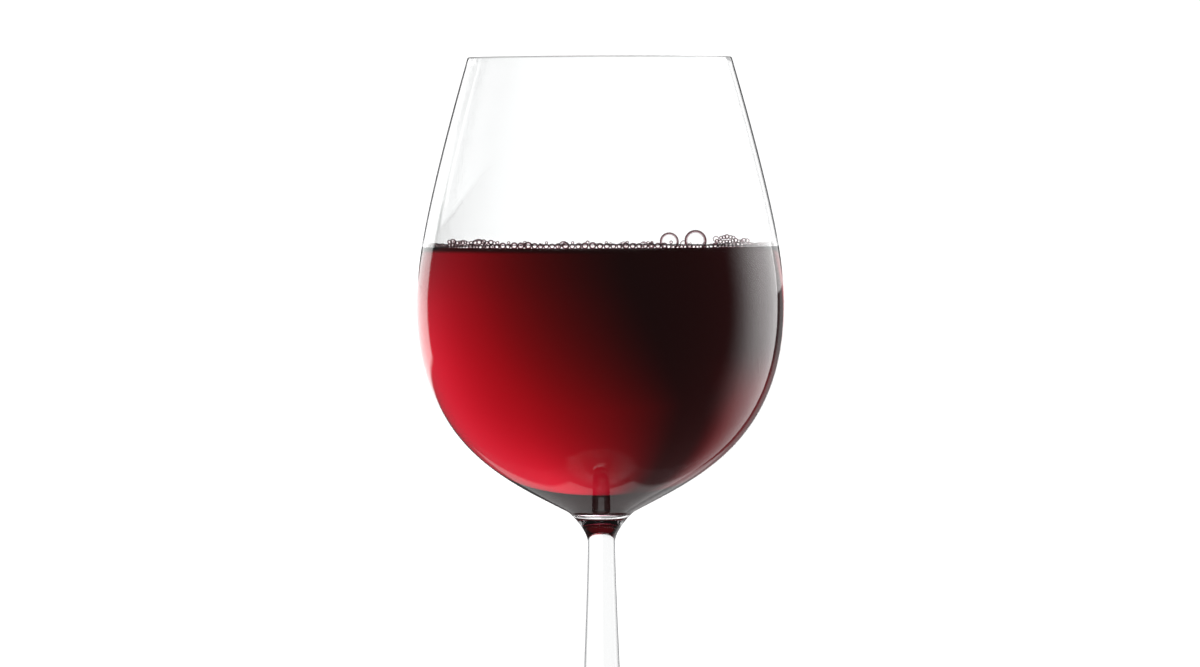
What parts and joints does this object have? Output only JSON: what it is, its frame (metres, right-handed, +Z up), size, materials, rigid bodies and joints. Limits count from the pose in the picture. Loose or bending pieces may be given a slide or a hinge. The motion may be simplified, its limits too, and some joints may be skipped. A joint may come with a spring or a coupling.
{
  "type": "glass of red wine",
  "caption": "Clear stemmed glass with a round foot and a tall bowl that narrows to its rim, more than half full of dark red wine edged with small bubbles.",
  "frame": {"origin": "middle of the foot's underside, in the plane that the glass stands on", "axes": "+Z up the stem through the middle of the rim; the glass is round, so +X and +Y are any two level directions"},
  "size_m": [0.095, 0.095, 0.225],
  "materials": {
    "clear_glass": "polished clear",
    "red_wine": "clear dark red liquid"
  },
  "bodies": {
    "root": {"glass": "clear_glass", "wine": "red_wine"}
  },
  "joints": []
}
